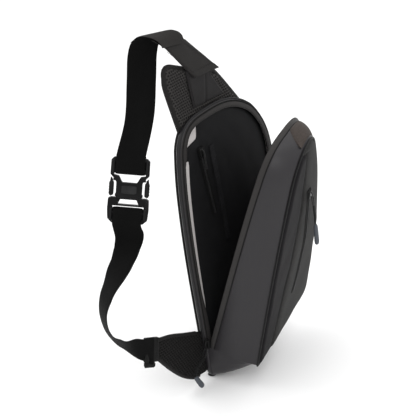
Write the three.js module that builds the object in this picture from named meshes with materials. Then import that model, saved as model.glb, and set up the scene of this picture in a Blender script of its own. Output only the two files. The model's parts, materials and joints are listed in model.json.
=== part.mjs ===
// Sling bag: a padded back with a yoke, a wing and a webbing strap, and a front shell that folds open along one side.
// Units are millimetres. +Z is up, the bag's front faces -Y, and the side with the zip mouth faces -X.
// The origin is the middle of the flat foot the bag stands on. Y = 0 is the plane of the main zip.
import * as THREE from "three";

// ---- Driving dimensions ----
const FOOT_CENTRE_X = -67; // the outlines below are drawn about the middle of the bag
const FOOT_HEIGHT = 2.5;
const CORNER_STEPS = 4;

const MOUTH_LOW = { x: -90, z: 55 }; // lower end of the main zip, on the near side
const MOUTH_FAR = { x: 102, z: 197.5 }; // other end of the main zip, on the far side
const OPEN_ANGLE = 26.5; // how far the shell stands open, in degrees

const BACK_DEPTH = 20.5;
const SIDEWALL_DEPTH = 9;
const FABRIC = 2;
const SHELL_GAP = 2.8;
const ZIP_BAND = 7.5;
const DEPTH_LOW = 84; // shell depth at the foot
const DEPTH_SLOPE = 0.11; // how fast the shell grows thinner with height
const PIPING_RADIUS = 1.4;

const WEBBING_WIDTH = 38;
const WEBBING_THICKNESS = 1.6;
const BUCKLE_HALF_WIDTH = 24.5;
const BUCKLE_LENGTH_SHARE = 0.87; // the buckle's outlines are drawn at this share of their length
const BUCKLE_HALF_THICKNESS = 3;
const BUCKLE_CENTRE = new THREE.Vector3(-151, 47, 309);

// Corners are [x, z, rounding]. Both outlines have the same corners in the same order, so they loft.
const REAR_CORNERS = [
  [-88, FOOT_HEIGHT, 14],
  [MOUTH_LOW.x, MOUTH_LOW.z, 0],
  [-100, 208, 60],
  [-99.5, 312, 48],
  [-88, 381, 34],
  [27, 388, 45],
  [93, 328, 45],
  [MOUTH_FAR.x, MOUTH_FAR.z, 0],
  [102, 72, 30],
  [-48, FOOT_HEIGHT, 16],
];
const FRONT_CORNERS = [
  [-82, 64, 5],
  [-97, 66, 0],
  [-92, 205, 60],
  [-82, 300, 48],
  [-70, 364, 28],
  [-20, 396, 36],
  [33, 325, 60],
  [84, 211, 0],
  [104, 70, 32],
  [-20, 65, 16],
];

const INNER_POCKET_CORNERS = [
  [-83, 312, 20],
  [-79, 346, 6],
  [-57, 352, 3],
  [-54, 374, 6],
  [27, 378, 40],
  [86, 324, 40],
  [95, 198, 20],
  [95, 78, 26],
  [-46, 11, 14],
  [-80, 11, 10],
  [-83, 80, 20],
  [-85, 208, 40],
];
const INNER_ZIP = [
  [-57, 340],
  [-49, 292],
  [-40, 238],
];
const SECOND_SEAM = [
  [-38, 372],
  [-27, 320],
  [-19, 270],
  [-23, 210],
  [-38, 142],
  [-52, 65],
];
const POCKET_ZIP = [
  [-8, 304],
  [7, 262],
  [18, 212],
  [16, 172],
  [4, 132],
];

// ---- Geometry helpers ----
const v3 = (x, y, z) => new THREE.Vector3(x, y, z);

// A closed outline through rounded corners. A corner of rounding 0 is one point.
function roundedOutline(corners) {
  const points = [];
  corners.forEach(([x, z, rounding], i) => {
    const tip = new THREE.Vector2(x, z);
    if (rounding === 0) {
      points.push(tip);
      return;
    }
    const before = corners[(i + corners.length - 1) % corners.length];
    const after = corners[(i + 1) % corners.length];
    const back = new THREE.Vector2(before[0], before[1]).sub(tip);
    const ahead = new THREE.Vector2(after[0], after[1]).sub(tip);
    const reach = Math.min(rounding, back.length() * 0.48, ahead.length() * 0.48);
    const start = back.setLength(reach).add(tip);
    const end = ahead.setLength(reach).add(tip);
    points.push(...new THREE.QuadraticBezierCurve(start, tip, end).getPoints(CORNER_STEPS));
  });
  return points;
}

// The outline moved inwards by a distance, or outwards by a negative one.
function inset(outline, distance) {
  const turn = THREE.ShapeUtils.area(outline) > 0 ? 1 : -1;
  return outline.map((p, i) => {
    const before = outline[(i + outline.length - 1) % outline.length];
    const after = outline[(i + 1) % outline.length];
    const along = after.clone().sub(before).normalize();
    return new THREE.Vector2(p.x - along.y * turn * distance, p.y + along.x * turn * distance);
  });
}

// Turns lists of corner points, one list per station, into triangles. Caps are fans or given as triangles.
function skin(rings, { loop = false, caps = null } = {}) {
  const count = rings[0].length;
  const positions = rings.flat().flatMap((p) => [p.x, p.y, p.z]);
  const faces = [];
  const bands = loop ? rings.length : rings.length - 1;
  for (let r = 0; r < bands; r += 1) {
    const a = r * count;
    const b = ((r + 1) % rings.length) * count;
    for (let i = 0; i < count; i += 1) {
      const j = (i + 1) % count;
      faces.push([a + i, a + j, b + j], [a + i, b + j, b + i]);
    }
  }
  if (!loop) {
    const last = (rings.length - 1) * count;
    const cap = caps || Array.from({ length: count - 2 }, (_, i) => [0, i + 1, i + 2]);
    cap.forEach(([i, j, k]) => {
      faces.push([k, j, i]);
      faces.push([last + i, last + j, last + k]);
    });
  }
  const volume = faces.reduce((sum, f) => {
    const [p, q, s] = f.map((i) => v3(...positions.slice(3 * i, 3 * i + 3)));
    return sum + p.dot(q.cross(s));
  }, 0);
  const index = volume < 0 ? faces.map((f) => f.reverse()).flat() : faces.flat();
  const geometry = new THREE.BufferGeometry();
  geometry.setAttribute("position", new THREE.Float32BufferAttribute(positions, 3));
  geometry.setIndex(index);
  geometry.computeVertexNormals();
  return geometry;
}

// A panel: layers of [inset, y], each y a number or a function of height, capped flat at both ends.
function slab(outline, layers) {
  const rings = layers.map(([distance, y]) =>
    inset(outline, distance).map((p) => v3(p.x, typeof y === "function" ? y(p.y) : y, p.y)),
  );
  const first = outline.map((p) => p.clone());
  const clockwise = THREE.ShapeUtils.isClockWise(first);
  const caps = THREE.ShapeUtils.triangulateShape(first, []);
  return skin(rings, { caps: clockwise ? caps.map((t) => [...t].reverse()) : caps });
}

// A flat band swept along points. Each point has the direction of the band's width there.
function ribbon(stations, width, thickness) {
  const rings = stations.map(({ at, across }, i) => {
    const before = stations[Math.max(i - 1, 0)].at;
    const after = stations[Math.min(i + 1, stations.length - 1)].at;
    const side = across.clone().setLength(width / 2);
    const up = after.clone().sub(before).cross(across).setLength(thickness / 2);
    return [
      at.clone().add(side).add(up),
      at.clone().sub(side).add(up),
      at.clone().sub(side).sub(up),
      at.clone().add(side).sub(up),
    ];
  });
  return skin(rings);
}

// A round cord along points.
function cord(points, radius, sides = 6, loop = false) {
  const last = points.length - 1;
  const rings = points.map((p, i) => {
    const before = loop ? points[(i + last) % points.length] : points[Math.max(i - 1, 0)];
    const after = loop ? points[(i + 1) % points.length] : points[Math.min(i + 1, last)];
    const along = after.clone().sub(before).normalize();
    const guide = Math.abs(along.y) > 0.9 ? v3(1, 0, 0) : v3(0, 1, 0);
    const u = guide.clone().cross(along).normalize();
    const w = along.clone().cross(u);
    return Array.from({ length: sides }, (_, k) => {
      const angle = (2 * Math.PI * k) / sides;
      return p
        .clone()
        .addScaledVector(u, radius * Math.cos(angle))
        .addScaledVector(w, radius * Math.sin(angle));
    });
  });
  return skin(rings, { loop });
}

// A plate cut from a flat outline with holes, lying in the XZ plane and centred on Y = 0.
function plate(points, holes, halfThickness) {
  const flat = (corners) => corners.map(([x, z]) => new THREE.Vector2(x, z));
  const outline = flat(points);
  const shape = new THREE.Shape(THREE.ShapeUtils.isClockWise(outline) ? outline.reverse() : outline);
  holes.forEach((hole) => shape.holes.push(new THREE.Path(flat(hole))));
  const geometry = new THREE.ExtrudeGeometry(shape, { depth: 2 * halfThickness, bevelEnabled: false });
  geometry.translate(0, 0, -halfThickness);
  geometry.rotateX(Math.PI / 2);
  return geometry;
}

const mirrored = (points) => [...points, ...points.map(([x, z]) => [-x, z]).reverse()];

// A box with its long edges cut off, for small moulded and cast parts.
function block(width, depth, height, cut) {
  const w = width / 2;
  const h = height / 2;
  const outline = [
    [w - cut, h],
    [w, h - cut],
    [w, cut - h],
    [w - cut, -h],
  ];
  return plate(mirrored(outline), [], depth / 2);
}

function cloth(color, roughness = 0.85) {
  return new THREE.MeshStandardMaterial({ color, roughness, metalness: 0 });
}

function piece(parent, name, geometry, material) {
  const mesh = new THREE.Mesh(geometry, material);
  mesh.name = name;
  parent.add(mesh);
  return mesh;
}

// ---- Shared shapes ----
const rear = roundedOutline(REAR_CORNERS);
const front = roundedOutline(FRONT_CORNERS);
const cornerStart = REAR_CORNERS.map((_, i) =>
  REAR_CORNERS.slice(0, i).reduce((sum, corner) => sum + (corner[2] === 0 ? 1 : CORNER_STEPS + 1), 0),
);
const LOW = cornerStart[1]; // index of the mouth's lower end in both outlines
const FAR = cornerStart[7]; // index of its far end
const mouth = Array.from({ length: FAR - LOW + 1 }, (_, i) => LOW + i);
const shellDepth = (z) => -(DEPTH_LOW - DEPTH_SLOPE * Math.max(z - FOOT_HEIGHT, 0));

const hingePoint = v3(MOUTH_LOW.x, 0, MOUTH_LOW.z);
const hingeAxis = v3(MOUTH_FAR.x - MOUTH_LOW.x, 0, MOUTH_FAR.z - MOUTH_LOW.z).normalize();
const opening = new THREE.Quaternion().setFromAxisAngle(hingeAxis, THREE.MathUtils.degToRad(OPEN_ANGLE));
const opened = (p) => p.clone().sub(hingePoint).applyQuaternion(opening).add(hingePoint);

// One station of the wall between the rear and the front outline: t = 0 at the zip, 1 at the front seam.
function wallPoint(i, t, distance) {
  const a = inset(rear, distance)[i];
  const b = inset(front, distance)[i];
  const x = THREE.MathUtils.lerp(a.x, b.x, t);
  const z = THREE.MathUtils.lerp(a.y, b.y, t);
  return v3(x, 0, z);
}
function shellWall(i, fromY, toFront, outside, inside) {
  const deep = shellDepth(front[i].y) + toFront;
  const at = (y, distance) => wallPoint(i, y / shellDepth(front[i].y), distance).setY(y);
  return [at(fromY, outside), at(deep, outside), at(deep, inside), at(fromY, inside)];
}

// ---- The back: root body ----
function buildBack(bag) {
  const black = cloth(0x141414);
  piece(
    bag,
    "back_panel",
    slab(rear, [
      [3.5, SIDEWALL_DEPTH + 0.5],
      [0.6, SIDEWALL_DEPTH + 2],
      [4, BACK_DEPTH - 3],
      [13, BACK_DEPTH],
    ]),
    cloth(0x1c1c1d),
  );

  const wallRings = [0, FABRIC + 0.5].map((distance) => inset(rear, distance));
  const sidewall = rear.map((_, i) => [
    v3(wallRings[0][i].x, 0, wallRings[0][i].y),
    v3(wallRings[0][i].x, SIDEWALL_DEPTH, wallRings[0][i].y),
    v3(wallRings[1][i].x, SIDEWALL_DEPTH, wallRings[1][i].y),
    v3(wallRings[1][i].x, 0, wallRings[1][i].y),
  ]);
  piece(bag, "back_sidewall", skin(sidewall, { loop: true }), cloth(0x262528));

  const outside = inset(rear, -PIPING_RADIUS - 0.5);
  const pipingAt = (y) => mouth.map((i) => v3(outside[i].x, y, outside[i].y));
  piece(bag, "rim_piping", cord(pipingAt(3.2), PIPING_RADIUS), black);
  piece(bag, "rear_piping", cord(pipingAt(9.6), PIPING_RADIUS), black);

  const tapeInner = inset(rear, 9);
  const tape = mouth.map((i) => [
    v3(rear[i].x, -0.6, rear[i].y),
    v3(rear[i].x, -1.9, rear[i].y),
    v3(tapeInner[i].x, -1.9, tapeInner[i].y),
    v3(tapeInner[i].x, -0.6, tapeInner[i].y),
  ]);
  piece(bag, "back_zip_tape", skin(tape), cloth(0x2c2b2c));

  piece(
    bag,
    "back_lining",
    slab(rear, [
      [4, 6.8],
      [4, 5.4],
    ]),
    cloth(0xc8c3c1),
  );

  const pocket = roundedOutline(INNER_POCKET_CORNERS);
  piece(
    bag,
    "inner_pocket",
    slab(pocket, [
      [0, 4.8],
      [0, 3.2],
    ]),
    black,
  );
  const innerZip = INNER_ZIP.map(([x, z]) => ({ at: v3(x, 2.2, z), across: v3(1, 0, 0.17) }));
  piece(bag, "inner_zip_tape", ribbon(innerZip, 10, 0.9), cloth(0x0e0e0e));

  // The wall below the fold joins the back, which stays still, to the shell's front, which moves.
  const below = [];
  for (let i = FAR; i <= rear.length + LOW; i += 1) below.push(i % rear.length);
  const lower = below.map((i) =>
    [
      [0.01, 0.2],
      [0.97, 0.2],
      [0.97, FABRIC + 0.2],
      [0.01, FABRIC + 0.2],
    ].map(([t, distance]) => {
      const start = inset(rear, distance)[i];
      const end = inset(front, distance)[i];
      const a = v3(start.x, -0.8, start.y);
      const b = opened(v3(end.x, shellDepth(front[i].y) + 2, end.y));
      return a.lerp(b, t);
    }),
  );
  const trimmed = (edge, next, share) => edge.map((p, k) => p.clone().lerp(next[k], share));
  lower[0] = trimmed(lower[0], lower[1], 0.06);
  lower[lower.length - 1] = trimmed(lower[lower.length - 1], lower[lower.length - 2], 0.2);
  piece(bag, "lower_gusset", skin(lower), cloth(0x3c393c, 0.6));

  const foot = block(30, 16, 2, 0.8);
  foot.translate(FOOT_CENTRE_X, 7, 1);
  piece(bag, "base_patch", foot, cloth(0x121212));
}

// ---- Yoke, strap flap and wing: pads sewn to the back ----
function buildPads(bag) {
  const black = cloth(0x151515);
  const top = cornerStart[4] + 2;
  const collar = inset(rear, -4).slice(top, cornerStart[6] + 1);
  const yoke = [...collar, new THREE.Vector2(5, 422), new THREE.Vector2(-84, 459), new THREE.Vector2(-99, 452)];
  piece(
    bag,
    "yoke_pad",
    slab(yoke, [
      [0, 6.5],
      [0, 16],
    ]),
    cloth(0x1e1d1d),
  );
  const edge = inset(yoke, -3.2);
  const free = [...edge.slice(collar.length - 1), edge[0]].map((p) => v3(p.x, 11.2, p.y));
  piece(bag, "yoke_binding", cord(free, 2.2, 8), black);

  const strip = [
    new THREE.Vector2(-52, 392),
    new THREE.Vector2(8, 392),
    new THREE.Vector2(-14, 429),
    new THREE.Vector2(-62, 448),
  ];
  piece(
    bag,
    "yoke_centre_strip",
    slab(strip, [
      [0, 5.4],
      [1, 4.2],
    ]),
    cloth(0x242224),
  );

  const flap = [
    new THREE.Vector2(-107, 492),
    new THREE.Vector2(-66, 488),
    new THREE.Vector2(1, 432),
    new THREE.Vector2(-50, 434),
  ];
  piece(
    bag,
    "strap_flap",
    slab(flap, [
      [0, 3.6],
      [0, 1.2],
    ]),
    cloth(0x343230),
  );

  const wing = [
    [-174, 108],
    [-150, 98],
    [-95, 76],
    [-94, 12],
    [-113, 15],
    [-130, 27],
    [-159, 53],
    [-180, 82],
  ].map(([x, z]) => new THREE.Vector2(x, z));
  piece(
    bag,
    "wing_pad",
    slab(wing, [
      [2, 6.2],
      [0, 8],
      [0, 12],
      [2, 13.8],
    ]),
    cloth(0x181818),
  );
  const wingEdge = inset(wing, -4);
  const upperEdge = [wingEdge[2].clone().lerp(wingEdge[1], 0.1), wingEdge[1], wingEdge[0]];
  const lowerEdge = [wingEdge[4], wingEdge[5], wingEdge[6], wingEdge[7]];
  const atPad = (p) => v3(p.x, 10, p.y);
  piece(bag, "wing_binding_upper", cord(upperEdge.map(atPad), 2, 8), black);
  piece(bag, "wing_binding_lower", cord(lowerEdge.map(atPad), 2, 8), black);

  const tab = [
    [-198, 123],
    [-180, 114.5],
    [-187, 79],
    [-205, 88],
  ].map(([x, z]) => new THREE.Vector2(x, z));
  piece(
    bag,
    "wing_tab",
    slab(tab, [
      [0, 12.5],
      [0, 8],
    ]),
    black,
  );
}

// ---- The front shell, built closed and then folded open ----
function buildShell(shell) {
  const satin = cloth(0x3b383b, 0.55);
  const piping = cloth(0x161616);
  const tape = mouth.map((i) => shellWall(i, -SHELL_GAP, 0, 0, FABRIC));
  const band = mouth.map((i, k) => {
    const [a, , , d] = tape[k];
    const [b, , , c] = shellWall(i, -SHELL_GAP - ZIP_BAND, 0, 0, FABRIC);
    return [a, b, c, d];
  });
  piece(shell, "shell_zip_tape", skin(band), cloth(0x302f30));
  const wall = mouth.map((i) => shellWall(i, -SHELL_GAP - ZIP_BAND - 0.5, 3.4, 0.2, FABRIC + 0.2));
  piece(shell, "shell_gusset", skin(wall), satin);

  const plane = (lift) => (z) => shellDepth(z) + lift;
  const seam = SECOND_SEAM.map(([x, z]) => new THREE.Vector2(x, z));
  const near = front.slice(0, cornerStart[4] + 3);
  const far = front.slice(cornerStart[4] + 3);
  const layers = [
    [0.8, plane(2.6)],
    [0.5, plane(0.5)],
    [3.5, plane(-1.5)],
  ];
  const border = [...near, ...seam];
  piece(shell, "front_border", slab(inset(border, 0.3), layers), cloth(0x2d2b2d));
  const panel = [...far, ...[...seam].reverse()];
  piece(shell, "front_panel", slab(inset(panel, 0.3), layers), cloth(0x464644));

  const bead = inset(front, -PIPING_RADIUS - 0.5).map((p, i) => v3(p.x, shellDepth(front[i].y) + 1, p.y));
  piece(shell, "front_piping", cord(bead, PIPING_RADIUS, 6, true), piping);

  const zip = POCKET_ZIP.map(([x, z]) => ({ at: v3(x, shellDepth(z) - 3, z), across: v3(1, 0, 0.12) }));
  piece(shell, "pocket_zip_tape", ribbon(zip, 9, 1), cloth(0x101010));

  const patchStations = [];
  for (let i = cornerStart[4] + 3; i <= cornerStart[5] + 2; i += 1) {
    patchStations.push(shellWall(i, -SHELL_GAP - ZIP_BAND - 2, 5, -0.8, -2));
  }
  piece(shell, "top_patch", skin(patchStations), cloth(0x55504a));
}

// ---- Zip sliders and their pulls ----
// A slider body with the bridge that carries its pull, its travel along local Z and its top facing local -Y.
function sliderBody() {
  const side = [
    [0, -6.5],
    [4, -6.5],
    [4, 6.5],
    [0, 6.5],
  ];
  return plate(mirrored(side), [], 2.2);
}

function buildSlider(parent, name, at, along, outward) {
  const z = along.clone().normalize();
  const y = outward.clone().negate();
  y.addScaledVector(z, -y.dot(z)).normalize();
  const x = y.clone().cross(z);
  const body = piece(parent, name, sliderBody(), new THREE.MeshStandardMaterial({
    color: 0x1a1a1a,
    roughness: 0.4,
    metalness: 0.6,
  }));
  body.position.copy(at);
  body.quaternion.setFromRotationMatrix(new THREE.Matrix4().makeBasis(x, y, z));
}

// A ring, a cord loop and a moulded grip, hanging along a chain of points.
function buildPull(parent, name, chain, gripTo) {
  const ink = cloth(0x101010);
  const [hook, ...rest] = chain;
  const ringPath = [hook, hook.clone().lerp(rest[0], 0.5), rest[0]];
  piece(parent, name + "_ring", cord(ringPath, 1.5, 6), new THREE.MeshStandardMaterial({
    color: 0x202020,
    roughness: 0.4,
    metalness: 0.6,
  }));
  const start = rest[0].clone().lerp(rest[1], 0.12);
  const path = [start, ...rest.slice(1)];
  piece(parent, name + "_cord", cord(path, 1.6, 6), ink);
  const end = path[path.length - 1];
  const gripStart = end.clone().add(gripTo.clone().sub(end).setLength(2.4));
  piece(parent, name + "_grip", cord([gripStart, gripTo], 3.3, 8), cloth(0x4b4e53, 0.7));
}

// ---- Strap: webbing and side-release buckle ----
const FACE = v3(0.61, -0.79, 0); // width direction where the strap hangs flat
const TURN = v3(-0.79, -0.61, 0); // the way the strap's face looks there
const buckleUp = v3(0.29, 0, 0.957).normalize();
const buckleAcross = FACE.clone().addScaledVector(buckleUp, -FACE.dot(buckleUp)).normalize();
const buckleNormal = buckleUp.clone().cross(buckleAcross);
const buckleFrame = new THREE.Matrix4()
  .makeBasis(buckleAcross, buckleNormal, buckleUp.clone().multiplyScalar(BUCKLE_LENGTH_SHARE))
  .setPosition(BUCKLE_CENTRE);

function inBuckle(y, z) {
  return { at: v3(0, y, z).applyMatrix4(buckleFrame), across: buckleAcross };
}

function splined(stations, steps) {
  const path = new THREE.CatmullRomCurve3(stations.map((s) => s.at), false, "centripetal");
  const turns = new THREE.CatmullRomCurve3(stations.map((s) => s.across), false, "centripetal");
  return Array.from({ length: steps + 1 }, (_, i) => ({
    at: path.getPoint(i / steps),
    across: turns.getPoint(i / steps),
  }));
}

// Width direction as shares of FACE, TURN and up.
const lean = (a, b, c) => v3(0, 0, c).addScaledVector(FACE, a).addScaledVector(TURN, b);

function buildStrap(bag) {
  const web = cloth(0x121212, 0.8);
  const loopFront = -BUCKLE_HALF_THICKNESS - 2.2;
  const upperLoop = [
    inBuckle(-loopFront, 50),
    inBuckle(-loopFront, 27),
    inBuckle(-loopFront * 0.7, 24.1),
    inBuckle(0, 23.1),
    inBuckle(loopFront * 0.7, 24.1),
    inBuckle(loopFront, 27),
  ];
  const upperRun = splined(
    [
      inBuckle(loopFront, 50),
      { at: v3(-119, 42, 397), across: lean(1, 0, 0) },
      { at: v3(-106, 42, 444), across: lean(1, 0, 0) },
      { at: v3(-99.5, 41, 475), across: lean(1, 0, 0.02) },
      { at: v3(-97, 34, 494), across: lean(1, 0, 0.05) },
      { at: v3(-94, 22, 503), across: lean(1, -0.05, 0.05) },
      { at: v3(-91, 10, 502), across: lean(0.9, -0.3, 0.02) },
      { at: v3(-88, 3.2, 494.5), across: lean(0.82, -0.5, 0) },
    ],
    22,
  );
  piece(bag, "upper_webbing", ribbon([...upperLoop, ...upperRun], WEBBING_WIDTH, WEBBING_THICKNESS), web);

  const lowerLoop = [
    inBuckle(-loopFront, -53),
    inBuckle(-loopFront, -33.5),
    inBuckle(-loopFront * 0.7, -30.8),
    inBuckle(0, -29.7),
    inBuckle(loopFront * 0.7, -30.8),
    inBuckle(loopFront, -33.5),
  ];
  const lowerRun = splined(
    [
      inBuckle(loopFront, -53),
      { at: v3(-166, 44, 248), across: lean(1, 0, 0) },
      { at: v3(-174, 45, 232), across: lean(0.9, 0.4, 0) },
      { at: v3(-187, 45, 218), across: lean(0.8, 0.6, 0) },
      { at: v3(-222, 43, 192), across: lean(0.43, 0.9, 0) },
      { at: v3(-240, 38, 172), across: lean(0.36, 0.93, 0.1) },
      { at: v3(-243, 30, 147), across: lean(0.3, 0.85, 0.35) },
      { at: v3(-230, 22, 126), across: lean(0.2, 0.7, 0.65) },
      { at: v3(-207, 12, 109), across: lean(0.1, 0.3, 0.95) },
    ],
    26,
  );
  piece(bag, "lower_webbing", ribbon([...lowerLoop, ...lowerRun], WEBBING_WIDTH, WEBBING_THICKNESS), web);
  return buildBuckle(bag);
}

function buildBuckle(bag) {
  const plastic = new THREE.MeshStandardMaterial({ color: 0x151515, roughness: 0.35, metalness: 0 });
  const frame = new THREE.Group();
  frame.applyMatrix4(buckleFrame);
  bag.add(frame);
  const w = BUCKLE_HALF_WIDTH;

  const male = [
    [w - 3, 48],
    [w + 0.5, 44],
    [w + 0.8, 22],
    [w - 3, 17.5],
    [17, 10.6],
    [17, -7],
    [14.5, -10.6],
  ];
  const maleHoles = [
    mirrored([
      [20.5, 43],
      [20.5, 30],
    ]),
    mirrored([
      [20.5, 27],
      [20.5, 21.5],
      [14, 20],
      [9.5, 10.4],
    ]),
  ];
  piece(frame, "buckle_male", plate(mirrored(male), maleHoles, BUCKLE_HALF_THICKNESS), plastic);

  const female = [
    [w - 1, -12.4],
    [w + 2, -14.4],
    [w + 2.5, -30],
    [w + 1.5, -45],
    [w - 4, -51],
  ];
  const femaleHoles = [
    mirrored([
      [10.5, -14.8],
      [13.5, -22.5],
    ]),
    mirrored([
      [20.5, -25],
      [20.5, -33.5],
    ]),
    mirrored([
      [20.5, -36.5],
      [20.5, -46],
    ]),
  ];
  piece(frame, "buckle_female", plate(mirrored(female), femaleHoles, BUCKLE_HALF_THICKNESS + 0.6), plastic);

  const arm = [
    [w - 3, 14],
    [w, 17.6],
    [w + 0.9, 10],
    [w + 0.9, -9],
    [w - 0.6, -11.3],
    [w - 2.8, -9.5],
    [w - 2.8, 8],
  ];
  [
    ["buckle_arm_right", 1],
    ["buckle_arm_left", -1],
  ].forEach(([name, side]) => {
    const points = arm.map(([x, z]) => [x * side, z]);
    piece(frame, name, plate(points, [], BUCKLE_HALF_THICKNESS - 0.5), plastic);
  });
  return frame;
}

// ---- Assembly ----
const bag = new THREE.Group();
buildBack(bag);
buildPads(bag);

const shellPivot = new THREE.Group();
shellPivot.position.copy(hingePoint);
shellPivot.quaternion.copy(opening);
const shell = new THREE.Group();
shell.position.copy(hingePoint).negate();
shellPivot.add(shell);
bag.add(shellPivot);
buildShell(shell);

const mainAlong = v3(REAR_CORNERS[2][0] - MOUTH_LOW.x, 0, REAR_CORNERS[2][1] - MOUTH_LOW.z).normalize();
const mainOut = v3(-mainAlong.z, 0, mainAlong.x);
const mainSliderAt = v3(MOUTH_LOW.x, -4.2, MOUTH_LOW.z).addScaledVector(mainAlong, 7).addScaledVector(mainOut, 3.8);
buildSlider(bag, "main_slider", mainSliderAt, mainAlong, mainOut);
buildPull(
  bag,
  "main_pull",
  [
    mainSliderAt.clone().addScaledVector(mainOut, 4.2).addScaledVector(mainAlong, -4),
    v3(-110, -8, 49),
    v3(-125, -9, 43),
    v3(-133, -9, 32),
  ],
  v3(-125, -14, 13),
);

const pocketAlong = v3(POCKET_ZIP[2][0] - POCKET_ZIP[0][0], 0, POCKET_ZIP[2][1] - POCKET_ZIP[0][1]);
pocketAlong.y = DEPTH_SLOPE * pocketAlong.z;
pocketAlong.normalize();
const pocketTop = v3(POCKET_ZIP[0][0], shellDepth(POCKET_ZIP[0][1]) - 6.2, POCKET_ZIP[0][1]);
pocketTop.addScaledVector(pocketAlong, 8);
buildSlider(
  bag,
  "pocket_slider",
  opened(pocketTop),
  pocketAlong.clone().applyQuaternion(opening),
  v3(0, -1, 0).applyQuaternion(opening),
);
const pocketHook = opened(pocketTop.clone().addScaledVector(v3(0, -1, 0), 4.4));
buildPull(
  bag,
  "pocket_pull",
  [
    pocketHook,
    pocketHook.clone().add(v3(-1, -1.5, -15)),
    pocketHook.clone().add(v3(-1, -2, -27)),
    pocketHook.clone().add(v3(-1, -2, -41)),
  ],
  pocketHook.clone().add(v3(-1, -2, -72)),
);

const innerAlong = v3(INNER_ZIP[2][0] - INNER_ZIP[0][0], 0, INNER_ZIP[2][1] - INNER_ZIP[0][1]).normalize();
const innerTop = v3(INNER_ZIP[0][0], -1, INNER_ZIP[0][1]).addScaledVector(innerAlong, 8);
buildSlider(bag, "inner_slider", innerTop, innerAlong, v3(0, -1, 0));
const innerHook = innerTop.clone().add(v3(0, -4, 0));
const innerPull = cord([innerHook, innerHook.clone().add(v3(1, -0.5, -22))], 1.4, 6);
piece(bag, "inner_pull", innerPull, cloth(0x2a2a2a));

buildStrap(bag);

const assembly = new THREE.Group();
bag.position.x = -FOOT_CENTRE_X;
assembly.add(bag);

export default assembly;
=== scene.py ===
import json
import math
from itertools import accumulate

import bmesh
import bpy
import numpy as np
from mathutils import Matrix, Quaternion, Vector, noise
from mathutils.geometry import delaunay_2d_cdt


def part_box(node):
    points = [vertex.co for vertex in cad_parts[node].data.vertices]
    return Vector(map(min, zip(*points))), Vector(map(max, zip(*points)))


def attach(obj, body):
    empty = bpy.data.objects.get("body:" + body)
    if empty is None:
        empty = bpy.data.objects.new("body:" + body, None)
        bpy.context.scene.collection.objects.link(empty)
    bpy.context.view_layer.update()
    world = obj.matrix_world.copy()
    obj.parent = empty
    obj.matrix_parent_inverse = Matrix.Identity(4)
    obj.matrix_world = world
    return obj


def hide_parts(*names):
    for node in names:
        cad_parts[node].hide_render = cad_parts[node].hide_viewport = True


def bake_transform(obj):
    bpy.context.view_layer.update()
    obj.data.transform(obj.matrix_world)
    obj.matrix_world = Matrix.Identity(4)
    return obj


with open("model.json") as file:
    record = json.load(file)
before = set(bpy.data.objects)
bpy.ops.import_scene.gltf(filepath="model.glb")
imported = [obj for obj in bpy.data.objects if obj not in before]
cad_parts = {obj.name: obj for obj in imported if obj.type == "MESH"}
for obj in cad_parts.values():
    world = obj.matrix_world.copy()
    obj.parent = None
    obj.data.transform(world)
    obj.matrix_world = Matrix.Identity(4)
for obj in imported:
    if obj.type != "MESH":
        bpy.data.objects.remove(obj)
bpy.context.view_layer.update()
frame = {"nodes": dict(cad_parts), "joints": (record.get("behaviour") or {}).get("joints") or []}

# ---- Driving dimensions, in millimetres about the middle of the bag ----
MM = 0.001
BAG_CENTRE_X = 67
FOOT_HEIGHT = 2.5
MOUTH_LOW = Vector((-90, 0, 55))
MOUTH_FAR = Vector((102, 0, 197.5))
OPEN_ANGLE = math.radians(26.5)
DEPTH_LOW = 84
DEPTH_SLOPE = 0.11
ZIP_START = 2.8
ZIP_BAND = 7.5
WALL = 2.0
PIPING = 1.4
MESH_PITCH = 4.4  # distance between the holes of the air mesh
HOLE_DEPTH = 1.6
STITCH_SPACING, STITCH_LENGTH, STITCH_RADIUS = 3.2, 2.0, 0.32
TOOTH_PITCH = 1.7
ROW_SHARE = 0.866  # height of a triangle grid's row, as a share of its pitch
SMOOTHING_ROUNDS = 8

# Corners are (x, z, rounding). Both outlines have the same corners in the same order, so they loft.
REAR_CORNERS = [
    (-88, FOOT_HEIGHT, 14), (MOUTH_LOW.x, MOUTH_LOW.z, 0), (-100, 208, 60), (-99.5, 312, 48),
    (-88, 381, 34), (27, 388, 45), (93, 328, 45), (MOUTH_FAR.x, MOUTH_FAR.z, 0),
    (102, 72, 30), (-48, FOOT_HEIGHT, 16),
]
FRONT_CORNERS = [
    (-82, 64, 5), (-97, 66, 0), (-92, 205, 60), (-82, 300, 48), (-70, 364, 28),
    (-20, 396, 36), (33, 325, 60), (84, 211, 0), (104, 70, 32), (-20, 65, 16),
]
PEAK_LEAD = 7  # rings from the patch's tail at the front seam to its full width
LOW_CORNER, PEAK_CORNER, PEAK_END, FAR_CORNER = 1, 4, 5, 7
POCKET_CORNERS = [
    (-83, 312, 20), (-79, 346, 6), (-57, 352, 3), (-54, 374, 6), (27, 378, 40), (86, 324, 40),
    (95, 198, 20), (95, 78, 26), (-46, 11, 14), (-80, 11, 10), (-83, 80, 20), (-85, 208, 40),
]
SECOND_SEAM = [(-38, 372), (-27, 320), (-19, 270), (-23, 210), (-38, 142), (-52, 65)]
POCKET_ZIP = [(-8, 304), (7, 262), (18, 212), (16, 172), (4, 132)]
INNER_ZIP = [(-57, 340), (-49, 292), (-40, 238)]
INNER_ELASTIC = [(-33, 335), (-28, 290), (-23, 240), (-19, 190)]
CURVE_STEPS, STRAIGHT_STEPS = 10, 9
FRONTWARD = Vector((0, -1, 0))


# ---- Geometry helpers ----
def place(p):
    """A point in bag millimetres becomes a point of the shared frame."""
    return Vector(((p[0] + BAG_CENTRE_X) * MM, p[1] * MM, p[2] * MM))


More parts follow.
